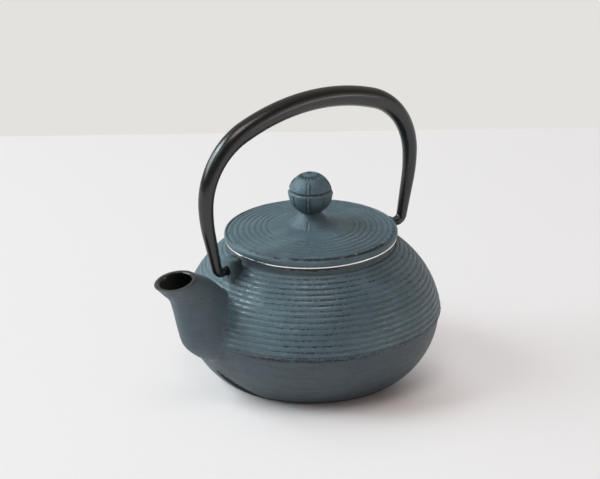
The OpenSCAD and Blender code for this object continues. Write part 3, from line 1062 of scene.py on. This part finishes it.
def near_streak(p):
    """Faces of the bowl round the dark streak."""
    lengthways = (p.y - STREAK_END / 2) / (STREAK_END / 2)
    across = (p.z + STREAK_FALL * p.y - STREAK_TOP + STREAK_W / 2) / (STREAK_W / 2)
    return p.x > 20 and p.z < PARTING_Z - 8 and lengthways ** 2 + across ** 2 < STREAK_MARGIN


def refinish_faces(piece, choose, material):
    """Gives another finish to the faces that choose picks by their middle."""
    piece.data.materials.append(material)
    number = len(piece.data.materials) - 1
    for face in piece.data.polygons:
        if choose(face.center / MM):
            face.material_index = number


def make_pot():
    pot = turned("pot_casting", casting_outline(), TURN_BODY)
    mark_grooves(pot)
    roughen(pot, "groove_breaks", 2.2, 0.36, "grooves")
    roughen(pot, "lip_breaks", 1.6, 0.7, "lip")
    roughen(pot, "cast_waves", 7.0, 0.14)
    finish_with(pot, BODY_PAINT)

    def work(solid, material, operation):
        finish_with(solid, material)
        combine(pot, solid, operation)

    work(spout_tube("spout", [(0.7,), (0.3, -0.08), (0.06, -0.35)], 0), SPOUT_PAINT, "UNION")
    soften_joins(pot, 1, 4.5, 30)
    for side in (1, -1):
        work(lug(side), LUG_PAINT, "UNION")
    soften_joins(pot, 2, 1.2, 6)
    room = turned("tea_room", room_outline(), TURN_ROOM)
    thin = SPOUT_WALL - 0.5
    bore = spout_tube("spout_bore", [(thin, 0.5), (thin,), (SPOUT_WALL - 0.1, -0.4)], SPOUT_WALL)
    for cutter in (room, bore):
        work(cutter, ENAMEL, "DIFFERENCE")
    for side in (1, -1):
        work(pin_hole(side), LUG_PAINT, "DIFFERENCE")
    pot.vertex_groups.clear()
    refinish_faces(pot, near_streak, DARK_STREAK_FINISH)
    hand_over(pot, "pot", "pot_body", "iron_paint")


# Lid

def lid_slope(reach):
    return LID_TOP_Z + (HUB_Z - LID_TOP_Z) * (LID_R - reach) / (LID_R - FOOT_R)


def lid_outline():
    steps = 8
    bead = EDGE_GROOVE_R + 0.6
    groove_z = lid_slope(EDGE_GROOVE_R)
    edge = [(SKIRT_OUT, SEAT_Z), (LID_R - 0.4, SEAT_Z), (LID_R - 0.1, SEAT_Z + 0.3), (LID_R, SEAT_Z + 0.9),
            (LID_R, SEAT_Z + 1.5), (LID_R - 0.1, SEAT_Z + 2.1), (LID_R - 0.35, SEAT_Z + 2.55),
            (bead, lid_slope(bead) - 0.1), (EDGE_GROOVE_R + 0.35, groove_z - 0.3),
            (EDGE_GROOVE_R, groove_z - EDGE_GROOVE_DEPTH), (EDGE_GROOVE_R - 0.35, groove_z - 0.3)]
    rings = []
    for i in range(3, LID_RINGS * steps - steps // 2 + 1):
        reach = EDGE_GROOVE_R - i * LID_PITCH / steps
        sunk = groove_depth((i / steps) % 1.0) if i > steps // 2 else 0.0
        rings.append((reach, lid_slope(reach) - LID_RING_DEPTH * sunk))
    middle = rings[-1][0]
    plain = [(middle - k, lid_slope(middle - k)) for k in (1, 2.5, 4, 6)]
    hub = [(FOOT_R - 1.0, HUB_Z), (TENON_HOLE_R, HUB_Z), (TENON_HOLE_R, HUB_Z - LID_PLATE),
           (FOOT_R, HUB_Z - LID_PLATE)]
    low = LID_LOW.z
    under = [(SKIRT_IN, lid_slope(SKIRT_IN) - LID_PLATE), (SKIRT_IN, low + 0.4), (SKIRT_IN + 0.4, low),
             (SKIRT_OUT - 0.4, low), (SKIRT_OUT, low + 0.4), (SKIRT_OUT, SEAT_Z)]
    return edge + rings + plain + hub + under


def make_lid():
    lid = turned("lid_casting", lid_outline(), TURN_LID)
    roughen(lid, "lid_waves", 3.0, 0.16)
    finish_with(lid, LID_PAINT)
    hand_over(lid, "lid", "lid", "iron_paint")


# Knob

def hump(height, middle, half, rise):
    """Soft ridge round the ball, or a groove for a negative rise, as a change of its radius."""
    away = abs(height - middle) / half
    return rise * (1 - away * away) if away < 1 else 0.0


def knob_outline():
    peen_z = WASHER_LOW.z
    neck_drop = math.sqrt(BALL_R ** 2 - KNOB_NECK_R ** 2)
    neck_z = BALL_Z - neck_drop
    skirt = FOOT_R + FOOT_FILLET
    points = [(0, peen_z - PEEN_H), (TENON_R - 0.6, peen_z - PEEN_H), (TENON_R, peen_z - PEEN_H + 0.4),
              (TENON_R + PEEN_H / 2, peen_z), (TENON_R, peen_z), (TENON_R, HUB_Z),
              (skirt, lid_slope(skirt) - 0.05), (FOOT_R + 0.6, HUB_Z + 0.12)]
    for i in range(1, FOOT_STEPS + 1):
        s = i / FOOT_STEPS
        cut = FOOT_HOLLOW * math.sin(math.pi * s)
        points.append((FOOT_R - (FOOT_R - KNOB_NECK_R) * s - cut, HUB_Z + (neck_z - HUB_Z) * s - cut))
    low = -math.asin(neck_drop / BALL_R)
    for i in range(1, BALL_STEPS + 1):
        a = low + (math.pi / 2 - low) * i / BALL_STEPS
        height = BALL_R * math.sin(a)
        belt = hump(height, BELT_Z, BELT_W, -BELT_DEPTH)
        reach = BALL_R + belt + hump(height, BELT_Z - RIDGE_DROP, RIDGE_W, RIDGE_RISE)
        points.append((max(reach * math.cos(a), 0.0), BALL_Z + reach * math.sin(a)))
    return points


def rib_distance(p, count=1):
    """Distance from the nearest of count ribs, measured round the axis."""
    step = 2 * math.pi / count
    away = (math.atan2(p.y, p.x) - RIB_TURN + step / 2) % step - step / 2
    return away * math.hypot(p.x, p.y)


def make_knob():
    knob = turned("knob_casting", knob_outline(), TURN_KNOB)

    def ribbed(p):
        height = p.z - BALL_Z
        return BELT_Z + 0.4 < height < BALL_R * math.cos(DIMPLE_RING * 1.55) or -7.0 < height < BELT_Z - 1.0

    def low_half(p):
        return -4.6 < p.z - BALL_Z < BELT_Z - 1.3

    def on_foot(p):
        return HUB_Z + 0.1 < p.z < HUB_Z + 3.6 and 7.0 < math.hypot(p.x, p.y) < FOOT_R + 0.4

    def dimple(p):
        polar = math.atan2(math.hypot(p.x, p.y), p.z - BALL_Z)
        along_ring = (polar - DIMPLE_RING) / math.radians(5.5)
        half = 0.42 * (1 - 0.5 * along_ring)
        return abs(along_ring) < 1 and abs(rib_distance(p, DIMPLES)) < half

    def belt(p):
        return abs(p.z - BALL_Z - BELT_Z) < 0.75 * BELT_W and math.hypot(p.x, p.y) > 6

    def at_rib(p, low, high, count=RIBS):
        return low < abs(rib_distance(p, count)) < high

    def mark(name, tones):
        marks = knob.data.attributes.new(name, "FLOAT", "POINT")
        for k, tone in tones.items():
            marks.data[k].value = tone

    ribs = press(knob, lambda p: ribbed(p) and at_rib(p, -1, 0.45), 0.26)
    ribs += press(knob, lambda p: on_foot(p) and 0.0 < rib_distance(p) < 0.7, 0.14)
    # Rib points are kept for a painted highlight
    mark("raised", dict.fromkeys(ribs, 1.0))
    # Pressed hollows, each with a strength for its painted shade
    hollows = {}
    for choose, depth, tone in (
            (lambda p: ribbed(p) and at_rib(p, 0.55, 1.0), -0.22, 0.55),
            (lambda p: low_half(p) and at_rib(p, -1, 0.36, LOW_GROOVES) and not at_rib(p, -1, 1.2), -0.26, 0.5),
            (lambda p: on_foot(p) and -0.9 < rib_distance(p) < -0.2, -0.20, 0.35),
            (dimple, -0.36, 0.9),
            (lambda p: p.z > BALL_Z and math.hypot(p.x, p.y) < 1.2, -0.4, 1.0),
            (belt, 0.0, 0.9)):
        hollows.update(dict.fromkeys(press(knob, choose, depth), tone))
    mark("hollow_shade", hollows)
    finish_with(knob, KNOB_PAINT)
    hand_over(knob, "lid", "knob", "iron_paint")


def make_washer():
    inner, outer = TENON_HOLE_R, WASHER_HIGH.x
    low, high = WASHER_LOW.z, WASHER_HIGH.z
    washer = turned("knob_rivet_washer", [
        (inner, low), (outer - EDGE, low), (outer, low + EDGE), (outer, high - 0.1), (outer - 0.1, high),
        (inner, high), (inner, low)], TURN_WASHER)
    finish_with(washer, WASHER_IRON)
    hand_over(washer, "lid", "knob_washer", "dark_iron")


# Bail

def bail_centreline():
    """Half of the bail from the crown's middle to the pin, as (x, z, heading)."""
    level = math.pi / 2
    turn = math.asin((BAIL_REACH - BEND_R) / (CROWN_R - BEND_R))
    bend_z = CROWN_Z - CROWN_R * (1 - math.cos(turn)) - BEND_R * math.cos(turn)
    top_x, top_z = BAIL_REACH - LEG_R * (1 - math.cos(LEG_LEAN)), bend_z - LEG_R * math.sin(LEG_LEAN)
    end_z = HINGE_Z + PIN_BEND_R * (1 - math.sin(LEG_LEAN))
    end_x = top_x - (top_z - end_z) * math.tan(LEG_LEAN)
    path = []

    def bend(x, z, radius, start, end, steps, first=1):
        for i in range(first, steps + 1):
            a = start + (end - start) * i / steps
            path.append((x + radius * math.sin(a), z + radius * math.cos(a), a))

    bend(0, CROWN_Z - CROWN_R, CROWN_R, 0, turn, 12, 0)
    bend(BAIL_REACH - BEND_R, bend_z, BEND_R, turn, level, 24)
    bend(BAIL_REACH - LEG_R, bend_z, LEG_R, level, level + LEG_LEAN, 8)
    for i in range(1, 8):
        s = i / 8
        path.append((top_x + (end_x - top_x) * s, top_z + (end_z - top_z) * s, level + LEG_LEAN))
    pin_x = end_x - PIN_BEND_R * math.cos(LEG_LEAN)
    bend(pin_x, HINGE_Z + PIN_BEND_R, PIN_BEND_R, level + LEG_LEAN, math.pi, 12, 0)
    return path


def make_bail():
    path = bail_centreline()
    run = [0.0]
    for here, there in zip(path, path[1:]):
        run.append(run[-1] + math.dist(here[:2], there[:2]))
    rings = []
    for (x, z, heading), s in zip(path, run):
        taper = max(0.0, (s - BAIL_FULL) / (run[-1] - BAIL_FULL))
        half = (BAIL_D - (BAIL_D - BAIL_END_D) * taper) / 2
        lean = -math.atan2(math.cos(heading), math.sin(heading))
        rings.append(((x, 0, z), lean, half, half))
    pin = [(x - 0.4, PIN_R), (PIN_END + 0.7, PIN_R), (PIN_END + 0.25, PIN_R - 0.2), (PIN_END, PIN_R - 0.7)]
    rings += [((x, 0, HINGE_Z), lean, half, half) for x, half in pin]
    bail = lofted("bail_bow", rings, BAIL_SIDES, closed=False)
    apply_modifier(bail, "MIRROR", use_axis=(True, False, False), use_clip=True, merge_threshold=MERGE)
    open_mesh(bail)
    close_ends()
    close_mesh()
    clean(bail)
    finish_with(bail, LACQUER)
    hand_over(bail, "bail", "bail_handle", "bail_black", 50)


# Tea basket

def make_sheet(name, node, outline):
    sheet = turned(name, outline + outline[:1], TURN_LID)
    finish_with(sheet, STEEL)
    hand_over(sheet, "infuser", node, "steel")


def make_flange():
    inner = WALL_HIGH.x + SHEET_GAP
    collar = inner + SHEET_T
    middle = FLANGE_HIGH.x - FLANGE_ROLL
    edge = arc((middle, RIM_Z + FLANGE_ROLL), FLANGE_ROLL, -math.pi / 2, 0, 4)
    edge += arc((middle, SEAT_Z - FLANGE_ROLL), FLANGE_ROLL, 0, math.pi / 2, 4)
    make_sheet("basket_flange", "infuser_rim", [
        (inner, FLANGE_LOW.z), (collar, FLANGE_LOW.z), (collar, RIM_Z - 0.3), (collar + 0.3, RIM_Z), *edge,
        (inner + 0.5, SEAT_Z), (inner, SEAT_Z - 0.5)])


def make_band():
    outer, inner = BAND_HIGH.x, BAND_HIGH.x - SHEET_T
    low, high = BAND_LOW.z, BAND_HIGH.z
    make_sheet("basket_band", "infuser_band", [
        (inner + 0.15, low), (outer - 0.05, low), (outer, low + 0.05), (outer, high), (inner, high),
        (inner, low + 0.15)])


def make_hem():
    outer, low, high = HEM_HIGH.x, HEM_LOW.z, HEM_HIGH.z
    inner = SIEVE_HIGH.x + SHEET_GAP - 2 * SHEET_T
    make_sheet("basket_hem", "infuser_hem", [
        (inner, low), (outer - 0.3, low), (outer, low + 0.3), (outer, high - 0.1), (outer - 0.1, high),
        (outer - SHEET_T, high), (outer - SHEET_T, low + SHEET_T), (inner, low + SHEET_T)])


def weave(piece, name, node, over):
    """Lets every second crossing of a net of quads rise and the others sink, and turns its edges into wires."""
    press(piece, over, WEAVE_RISE)
    press(piece, lambda p: not over(p), -WEAVE_RISE)
    apply_modifier(piece, "WIREFRAME", thickness=WIRE_T * MM, use_even_offset=False, use_replace=True)
    piece.name = name
    finish_with(piece, WIRE)
    hand_over(piece, "infuser", node, "steel_mesh", 60)


def make_mesh_wall():
    low, high = WALL_LOW.z, WALL_HIGH.z
    clear_selection()
    bpy.ops.mesh.primitive_cylinder_add(
        vertices=WALL_COLUMNS, radius=(WALL_HIGH.x - 0.2) * MM, depth=(high - low) * MM,
        end_fill_type="NOTHING", location=(0, 0, (high + low) / 2 * MM))
    net = settle(bpy.context.object)
    pick(net, lambda a, b: abs(a.z - b.z) > 1.0, "EDGE")
    bpy.ops.mesh.subdivide(number_cuts=WALL_ROWS)
    put_down()
    row_step = (high - low) / (WALL_ROWS + 1)

    def over(p):
        column = round(math.atan2(p.y, p.x) / (2 * math.pi / WALL_COLUMNS))
        return (column + round((p.z - low) / row_step)) % 2 == 0

    weave(net, "basket_mesh_wall", "infuser_wall", over)


def make_mesh_base():
    reach = SIEVE_HIGH.x
    clear_selection()
    bpy.ops.mesh.primitive_grid_add(
        x_subdivisions=BASE_CELLS, y_subdivisions=BASE_CELLS, size=2 * reach * MM,
        location=(0, 0, (SIEVE_LOW.z + SIEVE_HIGH.z) / 2 * MM))
    net = settle(bpy.context.object)
    pick(net, lambda p: math.hypot(p.x, p.y) > reach - 0.2)
    bpy.ops.mesh.delete(type="VERT")
    close_mesh()
    step = 2 * reach / BASE_CELLS
    weave(net, "basket_mesh_base", "infuser_base",
          lambda p: (round((p.x + reach) / step) + round((p.y + reach) / step)) % 2 == 0)


# Stage, lights and camera

RIGHT = Vector((-0.8012, 0.5984, 0))
AWAY = Vector((-0.5984, -0.8012, 0))
UP = Vector((0, 0, 1))
CAMERA_AT = Vector((782.1, 1038.6, 582.2)) * MM
CAMERA_AIM = Vector((4.07, -3.04, 63.0)) * MM
CAMERA_ROLL = math.radians(-0.925)
CAMERA_LENS = 182.35
FLOOR_SIZE = 8.0
FLOOR_DROP = 0.0001
TABLE_END = 0.32
TABLE_COLOURS = (0.817, 0.816, 0.813, 1.0), (0.827, 0.826, 0.824, 1.0)
BACKDROP_COLOUR = (0.768, 0.760, 0.730, 1.0)
LIFT_COLOUR = (0.868, 0.856, 0.851, 1.0)
LIFT_AT = (10 * RIGHT - 42 * AWAY) * MM
LIFT_FROM = 20.0
LIFT_TO = 76.0
SHADOW_LIFT = 0.54
FILL_COLOUR = (1.28, 1.0, 0.95, 1.0)
FILL_STRENGTH = 0.22
WALLS_FRONT = (0.09, 0.09, 0.09, 1.0)
WALLS_BEHIND = (0.40, 0.40, 0.39, 1.0)
PALE_SIDE = (0.65, 0.64, 0.63, 1.0)
PALE_SIDE_AT = 0.94 * RIGHT - 0.33 * AWAY
COOL = (0.88, 1.0, 1.05)
WARM = (1.08, 1.0, 0.965)

# Lights, as name, place, width and height in metres, power in watts and colour
LIGHTS_AIM = Vector((0, 0, 0.05))
LIGHTS = (
    ("left_window", -2.05 * RIGHT + 0.22 * AWAY + 1.24 * UP, 2.0, 1.1, 37.0, COOL),
    ("high_window", -1.21 * RIGHT + 0.05 * AWAY + 1.345 * UP, 0.75, 0.38, 11.0, COOL),
    ("front_panel", -0.81 * RIGHT - 0.90 * AWAY + 1.34 * UP, 0.44, 0.44, 1.1, COOL),
    ("top_softbox", -0.30 * AWAY + 1.28 * UP, 0.6, 0.6, 3.9, WARM),
    ("right_panel", 0.94 * RIGHT - 0.30 * AWAY + 0.22 * UP, 0.40, 0.20, 0.5, WARM))


def set_camera():
    clear_selection()
    bpy.ops.object.camera_add(location=CAMERA_AT)
    camera = bpy.context.object
    camera.data.lens = CAMERA_LENS
    camera.rotation_mode = "QUATERNION"
    aim = (CAMERA_AIM - CAMERA_AT).to_track_quat("-Z", "Y")
    camera.rotation_quaternion = aim @ Quaternion((0, 0, 1), CAMERA_ROLL)
    bpy.context.scene.camera = camera


def ray_kinds(n):
    """1 for rays from the camera, and 1 for rays from mirrors and through glass."""
    path = n.add("LightPath").outputs
    return path["Is Camera Ray"], n.most(path["Is Glossy Ray"], path["Is Transmission Ray"])


def mixed(n, share, first, second):
    return n.add("MixShader", {0: share, 1: first.outputs[0], 2: second.outputs[0]})


def pale_floor():
    """Pale table, which lifts its shadow round the pot, with a plain backdrop past the line where it ends."""
    material, n, shader, at = new_material("pale_floor", roughness=0.8, specular_ior_level=0.2)
    n.link(n.blend(n.noise(at, 160.0, 2.0), *TABLE_COLOURS), shader.inputs["Base Color"])
    past = n.stretch(n.dot(at, AWAY), TABLE_END, TABLE_END + 0.004)
    lift = n.fade(n.distance(at, LIFT_AT), LIFT_FROM, LIFT_TO, 0.0, SHADOW_LIFT)
    glow = n.add("Emission", {"Color": n.blend(past, LIFT_COLOUR, BACKDROP_COLOUR), "Strength": 1.0})
    floor = mixed(n, n.times(n.most(lift, past), n.most(*ray_kinds(n))), shader, glow)
    n.link(floor.outputs[0], n.tree.nodes["Material Output"].inputs["Surface"])
    return material


def set_stage():
    clear_selection()
    bpy.ops.mesh.primitive_plane_add(size=FLOOR_SIZE, location=(0, 0, -FLOOR_DROP))
    floor = bpy.context.object
    floor.name = "floor"
    finish_with(floor, pale_floor())
    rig.stage(floor)


def soft_light(name, place, width, height, power, colour):
    """Rectangular light that faces the pot."""
    clear_selection()
    bpy.ops.object.light_add(type="AREA", location=place)
    light = bpy.context.object
    light.name = name
    light.data.shape = "RECTANGLE"
    light.data.size = width
    light.data.size_y = height
    light.data.energy = power
    light.data.color = colour
    light.rotation_mode = "QUATERNION"
    light.rotation_quaternion = (LIGHTS_AIM - place).to_track_quat("-Z", "Y")


def set_world():
    """Warm fill all round, grey walls for mirrors and the plain backdrop for the camera."""
    world = bpy.data.worlds.new("studio")
    bpy.context.scene.world = world
    world.use_nodes = True
    n = Nodes(world.node_tree)
    fill = world.node_tree.nodes["Background"]
    fill.inputs["Color"].default_value = FILL_COLOUR
    fill.inputs["Strength"].default_value = FILL_STRENGTH
    aim = n.add("TexCoord").outputs["Generated"]
    walls = n.blend(n.facing(aim, AWAY, -0.2, 0.8), WALLS_FRONT, WALLS_BEHIND)
    walls = n.blend(n.facing(aim, PALE_SIDE_AT, 0.75, 0.95), walls, PALE_SIDE)
    room = n.add("Background", {"Color": walls, "Strength": 1.0})
    backdrop = n.add("Background", {"Color": BACKDROP_COLOUR, "Strength": 1.0})
    camera, glossy = ray_kinds(n)
    shown = mixed(n, camera, mixed(n, glossy, fill, room), backdrop)
    n.link(shown.outputs[0], world.node_tree.nodes["World Output"].inputs["Surface"])


set_camera()
set_stage()
for light in LIGHTS:
    soft_light(*light)
set_world()
for make_piece in (make_pot, make_lid, make_knob, make_washer, make_bail, make_flange, make_band, make_hem,
                   make_mesh_wall, make_mesh_base):
    made(make_piece)
bpy.context.scene.view_settings.view_transform = "Standard"

VISUAL_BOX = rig.bounds()
with open("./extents.json", "w") as size_file:
    json.dump({"cad": [list(corner) for corner in CAD_BOX], "visual": [list(corner) for corner in VISUAL_BOX]}, size_file)
